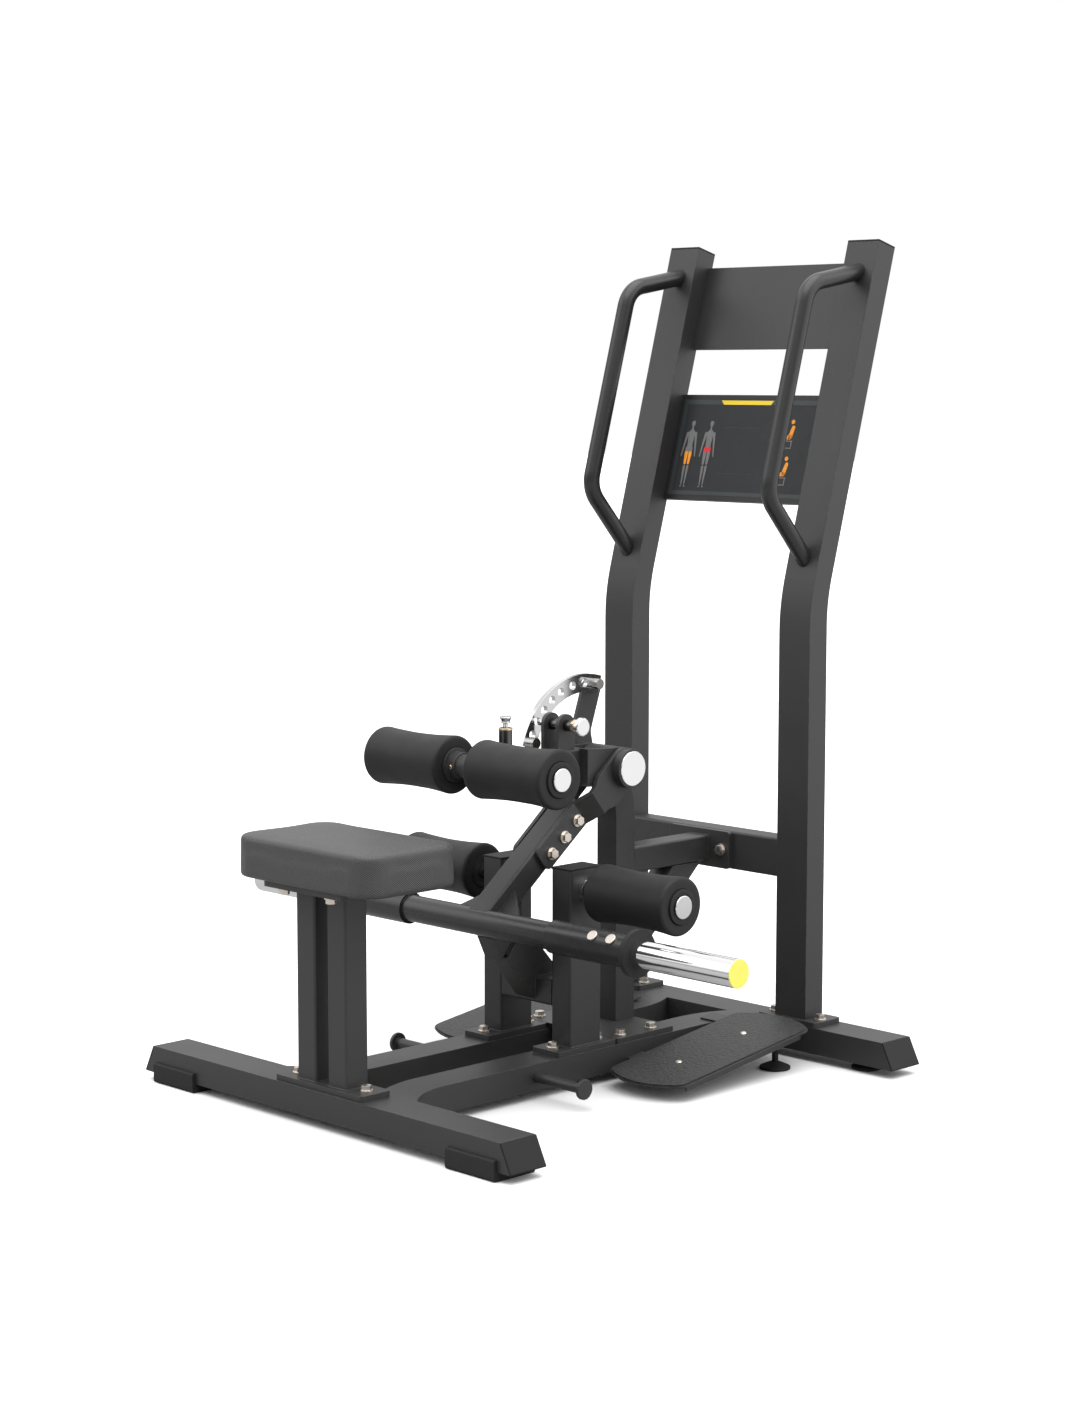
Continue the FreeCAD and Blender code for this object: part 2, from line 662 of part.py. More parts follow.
UNDER_TREAD = -size("tread_thick")
UNDER_TRAY = UNDER_TREAD - size("foot_sheet")
tray_sheet = placed(slab("XY_Plane", step_outline(0), "foot_sheet"), stepped(0, 0, UNDER_TRAY),
                    TILT)
outer_lip = box("foot_sheet", "lip_length", "foot_lip",
                stepped(size("foot_outer - foot_sheet"), -111, -13), TILT)
screw_spots = [(240, -29), (241, 150)]
screw_holes = [rod("bolt_shank / 2", "foot_lip", stepped(x, along, -8), TILT)
               for x, along in screw_spots]
tray = cut(joined(tray_sheet, outer_lip), *screw_holes)
keep(group(tray, mirrored(tray)), "foot_trays")
tread_sheet = slab("XY_Plane", step_outline(size("tread_border")), "tread_thick")
tread = cut(placed(tread_sheet, stepped(0, 0, UNDER_TREAD), TILT), *screw_holes)
keep(group(tread, mirrored(tread)), "foot_treads")
screw = [placed(turned([(0, -5.5), (3, -5.5), (3, 0), (6.5, 0), (4.5, 2, 1), (0, 2)]),
                stepped(x, along, 0), TILT) for x, along in screw_spots]
keep(group(*plate_fasteners, *flange_fasteners, *fasteners(under_seat, "mount_plate"),
           *screw, *[mirrored(piece) for piece in screw]), "frame_fasteners")
front_bracket = box("bracket_length", "bracket_width", "plate",
                    stepped(128, -50, UNDER_TRAY - size("plate")), TILT)
rear_strap = box("strap_length", "strap_width", "foot_sheet",
                 stepped(95, 190, UNDER_TRAY - size("foot_sheet")), TILT)
step_foot = LEVELLERS["levelling_foot_step_right"]
boss = rod("foot_boss", "boss_height", at(step_foot[0], step_foot[1], 45.5))
rear_bracket = cut(joined(rear_strap, boss),
                   rod("level_stem + level_thread_gap", "square_tube",
                       at(step_foot[0], step_foot[1], 30)))
keep(group(front_bracket, mirrored(front_bracket), rear_bracket, mirrored(rear_bracket)),
     "foot_brackets")

for label, (x, back, top) in LEVELLERS.items():
    stem = size("level_stem")
    outline = [(0, 0), (29, 0, 1.5), (29, 5, 2), (12, 12.5), (stem, 14), (stem, top), (0, top)]
    keep(turned(outline), label, at(x, back, 0))

peg_outline = [(0, 0), (9.5, 0), (9.5, 116), (18.5, 116, 1.5), (18.5, 123, 1.5), (0, 123)]
peg = placed(turned(peg_outline), at(128, 417, 41), ACROSS)
keep(group(peg, mirrored(peg)), "band_pegs")

# ---------------------------------------------------------------- rollers

# The foam is waisted and square at its ends, with a plug standing proud of the outer one.
roller_outline = [(12.8, 0), (54, 0, 6), (50, 97, 1000), (54, 194, 6), (32, 194), (32, 197.5),
                  (12.8, 197.5)]
lower_axis = (size("lower_axis_back"), size("lower_axis_up"))
upper_axis = (size("upper_axis_back"), size("upper_axis_up"))
# A collar on the post, the axle through the roller, and the disc that holds it.
lower_axle_outline = [(0, 0), (24, 0), (24, 12), (12.5, 12), (12.5, 238.5), (21, 238.5),
                      (21, 241.5, 1.5), (0, 241.5)]
lower_axle = placed(turned(lower_axle_outline), at(size("post_inner + square_tube"), *lower_axis),
                    ACROSS)
keep(group(lower_axle, mirrored(lower_axle)), "lower_axles")
for name, axis, start in (("lower", lower_axis, "lower_roller_start"),
                          ("upper", upper_axis, "upper_roller_start")):
    roller = keep(turned(roller_outline), f"{name}_roller_right", at(size(start), *axis), ACROSS)
    keep(mirrored(roller), f"{name}_roller_left")

# ---------------------------------------------------------------- weight lever

ARM = math.radians(180 + size("lever_drop"))
ARM_WAY = V(0, math.cos(ARM), math.sin(ARM))
ARM_SIDE = V(0, -math.sin(ARM), math.cos(ARM))
ARM_TURN = FreeCAD.Rotation(V(1, 0, 0), math.degrees(ARM))
ARM_ALONG = FreeCAD.Rotation(V(0, 0, 1), ARM_WAY)
ARM_FLAT = FreeCAD.Rotation(V(1, 0, 0), ARM_WAY, ARM_SIDE, "ZXY")


def on_arm(x, along, below):
    """A point of the weight arm: across, along it from the pivot, and below its middle."""
    return at(x, *PIVOT) + ARM_WAY * along + ARM_SIDE * below


tube_centre = (401, 309)


def weight_cylinder(radius, length, x):
    return rod(radius, length, at(x, *tube_centre), ACROSS)


lever_bolts = [(on_arm(side * 33, along, 4), V(side, 0, 0))
               for side in (1, -1) for along in (139, 182, 225)]
arm_tube = placed(tube("square_tube", "square_tube", "arm_length"),
                  on_arm(0, size("arm_start"), 0), ARM_ALONG)
gusset = placed(slab("XY_Plane", [(25, 330), (25, 395), (83, 395), (83, 388)], "gusset_plate"),
                on_arm(0, 0, -size("gusset_plate") / 2), ARM_FLAT)
foot_face = 5.8
foot_shift = (-foot_face * math.sin(catch_tilt), foot_face * math.cos(catch_tilt))
foot_tip = (catch_low[0] - 11 * math.cos(catch_tilt) + foot_shift[0],
            catch_low[1] - 11 * math.sin(catch_tilt) + foot_shift[1])
foot_heel = (catch_low[0] + 73 * math.cos(catch_tilt) + foot_shift[0],
             catch_low[1] + 73 * math.sin(catch_tilt) + foot_shift[1])
foot_outline = [(410, 279), foot_tip, foot_heel, (foot_heel[0], 343), (430, 300)]
foot = placed(slab("YZ_Plane", foot_outline, "foot_width"), at(-size("foot_width") / 2, 0, 0))
arm_weld = joined(arm_tube, gusset, mirrored(gusset), foot)
keep(cut(arm_weld, weight_cylinder("tube_radius", "2 * sleeve_start", -size("sleeve_start")),
         drills(lever_bolts, "square_tube")), "weight_arm")


def lever_plate():
    """A flat plate that bends outward from the arm's side to pass the pad yoke at the hub."""
    across = placed(slab("XY_Plane", [(25, 252), (33, 252), (33, 125), (57, 94), (57, -40),
                                      (47, -40), (47, 93), (25, 122)], "beam_depth"),
                    on_arm(0, 0, -size("beam_depth") / 2), ARM_FLAT)
    outline = [(-38, -38, 38), (62, -38, 15), (84, -27, 15), (252, -25, 12), (252, 25, 12),
               (84, 27, 15), (62, 38, 15), (-38, 38, 38)]
    seen_from_side = placed(slab("YZ_Plane", outline, "square_tube",
                                 [(0, 0, "shaft_radius + running_gap")]),
                            on_arm(15, 0, 0), ARM_TURN)
    both = doc.addObject("Part::Common", "lever_plate")
    both.Base = across
    both.Tool = seen_from_side
    return cut(both, drills(lever_bolts, "square_tube"))


lever_side = lever_plate()
keep(group(lever_side, mirrored(lever_side)), "lever_plates")
SLEEVE_START = size("sleeve_start")
HORN_START = size("horn_start")
HORN_END = size("horn_end")
weight_tube = placed(ring("tube_radius", "horn_bore", "2 * sleeve_start"),
                     at(-SLEEVE_START, *tube_centre), ACROSS)
set_way = V(0, -math.sqrt(0.5), math.sqrt(0.5))
set_bolts = [(at(side * x, *tube_centre) + set_way * size("sleeve_radius"), set_way)
             for side in (1, -1) for x in (304, 348)]
sleeve = placed(ring("sleeve_radius", "sleeve_bore", "horn_start - sleeve_start - stop_thick"),
                at(SLEEVE_START, *tube_centre), ACROSS)
sleeve_pair = group(sleeve, mirrored(sleeve))
keep(group(weight_tube, cut(sleeve_pair, drills(set_bolts, "set_bolt"))), "weight_tube")
# The sleeves are held by low button heads.
button_outline = [(0, -size("set_bolt")), (6, -size("set_bolt")), (6, 0), (10, 0), (10, 3, 1), (0, 3)]
buttons = [placed(turned(button_outline), spot, FreeCAD.Rotation(V(0, 0, 1), way))
           for spot, way in set_bolts]
keep(group(*fasteners(lever_bolts, "gusset_plate + tube_wall"), *buttons), "lever_bolts")
stop_ring = placed(ring("stop_radius", "sleeve_bore", "stop_thick"),
                   at(size("horn_start - stop_thick"), *tube_centre), ACROSS)
keep(group(stop_ring, mirrored(stop_ring)), "weight_stop_rings")
inside = size("sleeve_bore")
outside = size("tube_radius")
bore = size("horn_bore")
horn_outline = [(bore, SLEEVE_START), (inside, SLEEVE_START), (inside, HORN_START),
                (outside, HORN_START), (outside, HORN_END), (bore, HORN_END)]
horn = placed(turned(horn_outline), at(0, *tube_centre), ACROSS)
keep(group(horn, mirrored(horn)), "weight_horns")
horn_cap = placed(turned([(0, -12), (21, -12), (21, 0), (24.8, 0), (24.8, 2, 1), (0, 2)]),
                  at(HORN_END, *tube_centre), ACROSS)
keep(group(horn_cap, mirrored(horn_cap)), "horn_caps")

# ---------------------------------------------------------------- sector and its bar


def on_sector(x, degrees, radius):
    """A point at an angle above the forward horizontal, about the pivot."""
    angle = math.radians(degrees)
    return at(x, PIVOT[0] - radius * math.cos(angle), PIVOT[1] + radius * math.sin(angle))


HOLE_RADIUS = size("sector_holes")
SECTOR_INNER = -size("sector_inboard")
SECTOR_OUTER = -size("sector_inboard + sector_thick")
BEHIND_SECTOR = SECTOR_OUTER - size("sector_thick")
sector_turn = FreeCAD.Rotation(V(1, 0, 0), 180 - size("sector_high")).multiply(ACROSS)
pie = rod("sector_radius", "sector_thick", at(SECTOR_OUTER, *PIVOT), sector_turn)
pie.Angle = size("sector_high - sector_low")
HOLE_ANGLES = [25.1, 35.3, 45.5, 55.7, 65.9, 78.1, 90.3]
holes = [rod("sector_hole", "square_tube", on_sector(BEHIND_SECTOR, angle, HOLE_RADIUS), ACROSS)
         for angle in HOLE_ANGLES]
sector = cut(pie, rod("sector_radius - sector_band", "square_tube",
                      at(BEHIND_SECTOR, *PIVOT), ACROSS), group(*holes))
keep(sector, "sector_plate")

BAR_TURN = FreeCAD.Rotation(V(1, 0, 0), -18.9)
bar_outline = [(-38, -38, 38), (38, -38, 38), (38, 14, 14), (8, 62, 20), (8, 160, 10),
               (-38, 160, 22)]
bar = placed(slab("YZ_Plane", bar_outline, "bar_thick",
                  [(0, 0, "shaft_radius + running_gap")]),
             at(SECTOR_OUTER - size("bar_thick"), *PIVOT), BAR_TURN)
bar_boss = placed(ring("pivot_radius", "shaft_radius + running_gap", "bar_boss"),
                  at(SECTOR_OUTER, *PIVOT), ACROSS)
keep(joined(bar, bar_boss), "sector_bar")
stop_pad = rod("pad_radius", "stop_length", on_sector(SECTOR_INNER, 18.8, 158), ACROSS)
stop_stud = rod("stud_radius", "stop_length", on_sector(SECTOR_INNER, 97.1, 150), ACROSS)
keep(group(stop_pad, stop_stud), "sector_stops")

# ---------------------------------------------------------------- pad lever

pin_angle = math.radians(size("pin_angle"))
pin_spot = (PIVOT[0] - HOLE_RADIUS * math.cos(pin_angle),
            PIVOT[1] + HOLE_RADIUS * math.sin(pin_angle))
PAD_TOP = size("pad_arm_top")
PAD_LOW = size("pad_arm_top - pad_arm_height")
PAD_BACK = size("pad_arm_back")
PAD_MIDDLE = (PAD_TOP + PAD_LOW) / 2
web = box("2 * yoke_inner + 2 * yoke_plate", "web_thick", "pad_arm_height",
          at(-size("yoke_inner + yoke_plate"), PAD_BACK, PAD_LOW))
yoke_outline = [(636, PAD_LOW), (636, PAD_TOP), (690, 604), (758, 604, 38), (758, 528, 38),
                (690, 528)]
yoke_side = placed(slab("YZ_Plane", yoke_outline, "yoke_plate",
                        [(PIVOT[0], PIVOT[1], "shaft_radius + running_gap")]),
                   at(size("yoke_inner"), 0, 0))
keep(joined(web, yoke_side, mirrored(yoke_side)), "pad_yoke")

POP_BACK = size("pop_pin_back")
HOLES_LOW = 590
outer_tube = placed(tube("square_tube", "pad_arm_height", "pad_arm_back - pad_arm_front"),
                    at(0, PAD_BACK, PAD_MIDDLE), FORWARD)
half = size("ear_half")
ear_foot = PAD_TOP - 0.5
ear_outline = [(pin_spot[0] - half, ear_foot), (pin_spot[0] + half, ear_foot),
               (pin_spot[0] + half, pin_spot[1] + half, half),
               (pin_spot[0] - half, pin_spot[1] + half, half)]
ear = placed(slab("YZ_Plane", ear_outline, "ear_thick",
                  [(pin_spot[0], pin_spot[1], "pin_radius")]), at(size("ear_inner"), 0, 0))
plunger_hole = rod("pop_plunger + 2 * hole_play", "square_tube", at(0, POP_BACK, HOLES_LOW))
keep(cut(joined(outer_tube, ear, mirrored(ear)), plunger_hole), "pad_arm")
keep(ring("pin_radius", "pin_bore", "barrel_length"), "sector_pin_barrel",
     at(-size("barrel_start"), *pin_spot), ACROSS)
sector_pin = turned([(0, -52.5), (4, -52.5), (6, -48), (6, 56), (8, 58), (18, 58, 2),
                     (18, 67, 4), (0, 67)])
keep(sector_pin, "sector_pin", at(0, *pin_spot), ACROSS)

keep(ring("pop_pin_radius", "pop_plunger + running_gap", "pop_barrel"),
     "carriage_pin_barrel", at(0, POP_BACK, PAD_TOP))
carriage_pin = turned([(0, 605.2), (3.5, 605.2), (5, 608), (5, 666), (8, 667), (8, 671, 1),
                       (11, 676.5, 1), (11, 679.5, 1), (0, 679.5)])
keep(carriage_pin, "carriage_pin", at(0, POP_BACK, 0))

# ---------------------------------------------------------------- pad carriage

GAP = "2 * tube_wall - 2 * carriage_gap"
inner_tube = placed(tube(f"square_tube - {GAP}", f"pad_arm_height - {GAP}",
                         "carriage_back - carriage_front"),
                    at(0, size("carriage_back"), PAD_MIDDLE), FORWARD)
cross_tube = placed(ring("cross_radius", "axle_radius", "2 * cross_half"),
                    at(-size("cross_half"), *upper_axis), ACROSS)
# A hub on each end of the cross tube, with a thin flange against the roller.
hub_outline = [(12.5, 15), (24.5, 15, 1), (24.5, 33), (31.5, 33), (31.5, 36), (12.5, 36)]
hub = placed(turned(hub_outline), at(0, *upper_axis), ACROSS)
cradle_block = box("2 * cross_half", "cradle_depth", "cradle_height",
                   at(-size("cross_half"), 381, 562))
cradle = cut(cradle_block, rod("cross_radius", "beam_depth", at(-40, *upper_axis), ACROSS))
pin_holes = [rod("pop_plunger + 2 * hole_play", "square_tube",
                 at(0, POP_BACK + step * size("hole_pitch"), HOLES_LOW))
             for step in (-1, 0, 1, 2, 3)]
carriage = group(cut(inner_tube, group(*pin_holes)), cradle, cross_tube, hub,
                 mirrored(hub))
keep(carriage, "carriage_tube")
# The axle, with a disc at each end to hold its roller.
upper_axle_outline = [(0, -238), (21, -238, 1.5), (21, -235), (12.5, -235),
                      (12.5, 235), (21, 235), (21, 238, 1.5), (0, 238)]
keep(turned(upper_axle_outline), "upper_axle", at(0, *upper_axis), ACROSS)

# ---------------------------------------------------------------- check and write

doc.recompute()
for thing in doc.Objects:
    bad = [state for state in thing.State if state in ("Invalid", "Error")]
    if bad:
        raise RuntimeError(f"{thing.Name} ({thing.Label}): {bad}")
for thing in nodes:
    shape = thing.Shape
    if shape.isNull() or not shape.isValid() or not shape.Solids:
        raise RuntimeError(f"{thing.Label} has no valid solid")
    shape.exportStep(f"parts/{thing.Label}.step")
print(len(nodes), "nodes")
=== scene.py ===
import json
import math

import bmesh
import bpy
from mathutils import Matrix, Vector


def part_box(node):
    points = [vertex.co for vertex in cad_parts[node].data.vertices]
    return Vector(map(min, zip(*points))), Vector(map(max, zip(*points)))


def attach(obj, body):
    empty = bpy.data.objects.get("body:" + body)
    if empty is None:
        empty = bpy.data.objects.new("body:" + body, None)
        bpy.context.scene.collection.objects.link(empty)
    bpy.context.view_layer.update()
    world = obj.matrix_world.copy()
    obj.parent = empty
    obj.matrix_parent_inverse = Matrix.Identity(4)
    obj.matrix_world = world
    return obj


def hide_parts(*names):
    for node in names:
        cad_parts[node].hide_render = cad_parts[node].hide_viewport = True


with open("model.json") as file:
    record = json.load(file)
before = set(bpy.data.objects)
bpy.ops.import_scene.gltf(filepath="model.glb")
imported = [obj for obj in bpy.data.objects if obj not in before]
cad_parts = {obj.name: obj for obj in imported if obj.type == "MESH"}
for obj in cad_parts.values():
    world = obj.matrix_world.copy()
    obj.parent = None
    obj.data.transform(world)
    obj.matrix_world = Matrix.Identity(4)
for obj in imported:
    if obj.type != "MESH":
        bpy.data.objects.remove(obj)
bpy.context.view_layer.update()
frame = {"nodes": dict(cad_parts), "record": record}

NODES = frame["nodes"]
WHITE = (1.0, 1.0, 1.0, 1.0)

# ---------------------------------------------------------------- material nodes


class Tree:
    """A short way to write a material's nodes."""

    def __init__(self, name):
        self.material = bpy.data.materials.new(name)
        self.material.use_nodes = True
        self.tree = self.material.node_tree
        self.shader = self.tree.nodes["Principled BSDF"]
        self.place = self.add("ShaderNodeTexCoord").outputs["Object"]

    def add(self, kind, **settings):
        node = self.tree.nodes.new(kind)
        for name, value in settings.items():
            setattr(node, name, value)
        return node

    def link(self, source, target):
        if isinstance(source, (int, float, tuple)):
            target.default_value = source
        else:
            self.tree.links.new(source, target)

    def maths(self, operation, *values):
        node = self.add("ShaderNodeMath", operation=operation)
        for index, value in enumerate(values):
            self.link(value, node.inputs[index])
        return node.outputs[0]

    def noise(self, scale, detail=3.0, place=None):
        node = self.add("ShaderNodeTexNoise")
        self.link(place or self.place, node.inputs["Vector"])
        node.inputs["Scale"].default_value = scale
        node.inputs["Detail"].default_value = detail
        return node.outputs["Fac"]

    def stretched(self, x, y, z):
        """The surface's place with each direction scaled, for brushed grain."""
        node = self.add("ShaderNodeMapping")
        self.link(self.place, node.inputs["Vector"])
        node.inputs["Scale"].default_value = (x, y, z)
        return node.outputs["Vector"]

    def between(self, value, low, high, out_low=0.0, out_high=1.0):
        node = self.add("ShaderNodeMapRange")
        node.inputs["From Min"].default_value = low
        node.inputs["From Max"].default_value = high
        node.inputs["To Min"].default_value = out_low
        node.inputs["To Max"].default_value = out_high
        self.link(value, node.inputs["Value"])
        return node.outputs["Result"]

    def mix(self, amount, first, second):
        node = self.add("ShaderNodeMix", data_type="RGBA")
        self.link(amount, node.inputs["Factor"])
        self.link(first, node.inputs["A"])
        self.link(second, node.inputs["B"])
        return node.outputs["Result"]

    def edges(self, radius):
        """How far the surface turns within a radius: 1 on an edge, 0 on a flat; used to lighten
        edges as rubbed paint and as a painted highlight.
        """
        soft = self.add("ShaderNodeBevel", samples=6)
        soft.inputs["Radius"].default_value = radius
        flat = self.add("ShaderNodeNewGeometry")
        dot = self.add("ShaderNodeVectorMath", operation="DOT_PRODUCT")
        self.link(soft.outputs["Normal"], dot.inputs[0])
        self.link(flat.outputs["Normal"], dot.inputs[1])
        return self.between(dot.outputs["Value"], 0.995, 0.80)

    def bump(self, height, strength, depth, rounded=0.0):
        node = self.add("ShaderNodeBump")
        node.inputs["Strength"].default_value = strength
        node.inputs["Distance"].default_value = depth
        self.link(height, node.inputs["Height"])
        if rounded:
            soft = self.add("ShaderNodeBevel", samples=6)
            soft.inputs["Radius"].default_value = rounded
            self.link(soft.outputs["Normal"], node.inputs["Normal"])
        self.link(node.outputs["Normal"], self.shader.inputs["Normal"])

    def finish(self, color, roughness, metallic=0.0, **sockets):
        self.link(color, self.shader.inputs["Base Color"])
        self.link(roughness, self.shader.inputs["Roughness"])
        self.shader.inputs["Metallic"].default_value = metallic
        for name, value in sockets.items():
            self.shader.inputs[name.replace("_", " ")].default_value = value
        return self.material


def grey(level, warm=0.0):
    """A grey of a linear level, made warmer by a share."""
    return (level * (1 + warm), level, level * (1 - warm), 1.0)


def powder_coat(name, level, rough):
    """Black powder coat: a fine orange-peel grain, lighter on its edges: a little rubbed, and
    partly a painted edge highlight.
    """
    m = Tree(name)
    grain = m.noise(1500, detail=2)
    cloud = m.noise(6, detail=4)
    # Edges lighten toward grey in patches: partly rubbed paint, partly a painted highlight along
    # the edges.
    rubbed_and_highlit_edge = m.maths("MULTIPLY", m.edges(0.0012), m.between(m.noise(90), 0.45, 0.62))
    base = m.mix(cloud, grey(level * 0.87), grey(level * 1.13))
    color = m.mix(m.maths("MULTIPLY", rubbed_and_highlit_edge, 0.6), base, grey(0.20))
    fleck = m.maths("MULTIPLY", grain, 0.16)
    roughness = m.maths("ADD", m.between(cloud, 0.3, 0.7, rough - 0.04, rough + 0.04), fleck)
    m.bump(grain, 0.35, 0.0004, rounded=0.0012)
    return m.finish(color, roughness)


def plated(name, level, warm, rough, brush=(1, 1, 1), brush_depth=0.0):
    """Bright plate: polished, or brushed along one direction."""
    m = Tree(name)
    smudge = m.noise(22, detail=5)
    lines = m.noise(420, detail=3, place=m.stretched(*brush))
    color = m.mix(smudge, grey(level * 0.93, warm), grey(level, warm))
    roughness = m.maths("ADD", m.between(smudge, 0.35, 0.7, rough, rough * 1.5),
                        m.maths("MULTIPLY", lines, brush_depth))
    m.bump(lines, 0.05 + brush_depth, 0.0002, rounded=0.0006)
    return m.finish(color, roughness, metallic=1.0)


def moulded(name, level, rough, grain_scale, depth):
    """Moulded plastic, rubber or skinned foam."""
    m = Tree(name)
    grain = m.noise(grain_scale, detail=3)
    cloud = m.noise(9, detail=3)
    color = m.mix(cloud, grey(level * 0.85), grey(level * 1.15))
    roughness = m.maths("ADD", m.between(cloud, 0.3, 0.7, rough - 0.04, rough + 0.04),
                        m.maths("MULTIPLY", grain, 0.08))
    m.bump(grain, 0.4, depth, rounded=0.001)
    return m.finish(color, roughness, Specular_IOR_Level=0.35)


def foam_skin():
    """Skinned closed-cell foam: a dry black surface with pores too fine to count."""
    m = Tree("foam_skin")
    pores = m.noise(1300, detail=3)
    dents = m.noise(24, detail=3)
    color = m.mix(m.between(pores, 0.40, 0.60), grey(0.009), grey(0.019))
    height = m.maths("ADD", m.maths("MULTIPLY", pores, 0.5), dents)
    roughness = m.between(dents, 0.3, 0.7, 0.50, 0.60)
    m.bump(height, 0.4, 0.0006)
    return m.finish(color, roughness, Specular_IOR_Level=0.32)


def flat_places(m):
    """Two distances along the surface, whichever way it faces."""
    geometry = m.add("ShaderNodeNewGeometry")
    facing = m.add("ShaderNodeSeparateXYZ")
    m.link(geometry.outputs["Normal"], facing.inputs[0])
    place = m.add("ShaderNodeSeparateXYZ")
    m.link(m.place, place.inputs[0])
    size = [m.maths("ABSOLUTE", facing.outputs[axis]) for axis in range(3)]
    upward = m.maths("GREATER_THAN", size[2], 0.7)
    sideways = m.maths("GREATER_THAN", size[0], size[1])
    x, y, z = (place.outputs[axis] for axis in range(3))
    around = m.maths("ADD", m.maths("MULTIPLY", x, m.maths("SUBTRACT", 1.0, sideways)),
                     m.maths("MULTIPLY", y, sideways))
    first = m.maths("ADD", m.maths("MULTIPLY", x, upward),
                    m.maths("MULTIPLY", around, m.maths("SUBTRACT", 1.0, upward)))
    second = m.maths("ADD", m.maths("MULTIPLY", y, upward),
                     m.maths("MULTIPLY", z, m.maths("SUBTRACT", 1.0, upward)))
    return first, second


def woven_vinyl():
    """Dark grey vinyl embossed with rows of small raised diamonds."""
    diamond_wide = 0.0045
    diamond_tall = 0.0037
    m = Tree("woven_vinyl")
    first, second = flat_places(m)
    u = m.maths("MULTIPLY", first, math.pi / diamond_wide)
    v = m.maths("MULTIPLY", second, math.pi / diamond_tall)
    leaning = m.maths("ABSOLUTE", m.maths("SINE", m.maths("ADD", u, v)))
    falling = m.maths("ABSOLUTE", m.maths("SINE", m.maths("SUBTRACT", u, v)))
    height = m.maths("MULTIPLY", leaning, falling)
    wear = m.noise(10, detail=4)
    tint = m.mix(wear, grey(0.066), grey(0.079))
    color = m.mix(m.between(height, 0.10, 0.50), grey(0.008), tint)
    roughness = m.between(wear, 0.3, 0.7, 0.36, 0.46)
    m.bump(height, 0.75, 0.0007)
    return m.finish(color, roughness, Coat_Weight=0.1, Coat_Roughness=0.3)


def pebbled_tread():
    """A coarse pebbled anti-slip coating."""
    m = Tree("pebbled_tread")
    cells = m.add("ShaderNodeTexVoronoi", feature="SMOOTH_F1")
    m.link(m.place, cells.inputs["Vector"])
    cells.inputs["Scale"].default_value = 190
    lumps = m.maths("SUBTRACT", 1.0, cells.outputs["Distance"])
    grit = m.noise(900, detail=3)
    height = m.maths("ADD", lumps, m.maths("MULTIPLY", grit, 0.25))
    color = m.mix(m.between(lumps, 0.35, 0.95), grey(0.018), grey(0.040))
    m.bump(height, 0.9, 0.0012, rounded=0.0008)
    return m.finish(color, m.between(grit, 0.3, 0.7, 0.45, 0.62))


def tinted(name, color, dark, rough):
    """Coloured plastic or print with a little unevenness."""
    m = Tree(name)
    uneven = m.noise(60, detail=3)
    mixed = m.mix(uneven, tuple(c * dark for c in color[:3]) + (1.0,), color)
    m.bump(m.noise(700), 0.15, 0.0002)
    return m.finish(mixed, m.between(uneven, 0.3, 0.7, rough, rough + 0.08),
                    Specular_IOR_Level=0.35)


POWDER = powder_coat("black_powder_coat", 0.030, 0.34)
GLOSSY_POWDER = powder_coat("glossy_powder_coat", 0.021, 0.19)
CHROME = plated("polished_chrome", 0.82, 0.0, 0.06)
SECTOR = plated("mirror_plate", 0.62, 0.0, 0.07, brush=(1, 1, 6), brush_depth=0.01)
GUNMETAL = plated("gunmetal", 0.12, 0.02, 0.20)
GOLD_ZINC = plated("yellow_zinc", 0.68, 0.30, 0.22)
DULL_PLATE = plated("dull_plate", 0.42, 0.02, 0.22)
ZINC = plated("bright_zinc", 0.72, 0.10, 0.24, brush_depth=0.05)
SHAFT = plated("ground_steel", 0.6, 0.0, 0.3, brush=(8, 1, 1), brush_depth=0.1)
BRONZE = plated("sintered_bronze", 0.5, 0.35, 0.42)
PLASTIC = moulded("black_plastic", 0.020, 0.42, 800, 0.0004)
RUBBER = moulded("matt_rubber", 0.017, 0.66, 500, 0.0005)
PLUG = moulded("roller_plug", 0.011, 0.50, 700, 0.0003)
END_CAP = moulded("tube_plug", 0.006, 0.55, 700, 0.0003)
PLACARD = moulded("placard_plastic", 0.016, 0.36, 900, 0.0003)
FOAM = foam_skin()
VINYL = woven_vinyl()
TREAD = pebbled_tread()
YELLOW = tinted("pale_yellow_plastic", (0.95, 0.90, 0.16, 1.0), 0.92, 0.42)
PRINT_DARK = tinted("dark_print", (0.019, 0.020, 0.022, 1.0), 0.9, 0.50)
PRINT_EDGE = tinted("edge_print", (0.036, 0.042, 0.044, 1.0), 0.95, 0.36)
PRINT_RULE = tinted("rule_print", (0.060, 0.060, 0.062, 1.0), 0.95, 0.4)
PRINT_YELLOW = tinted("yellow_print", (0.85, 0.62, 0.02, 1.0), 0.95, 0.3)
PRINT_GREY = tinted("grey_print", (0.16, 0.16, 0.16, 1.0), 0.85, 0.3)
PRINT_ORANGE = tinted("orange_print", (0.85, 0.30, 0.01, 1.0), 0.95, 0.3)
PRINT_RED = tinted("red_print", (0.62, 0.02, 0.02, 1.0), 0.95, 0.3)

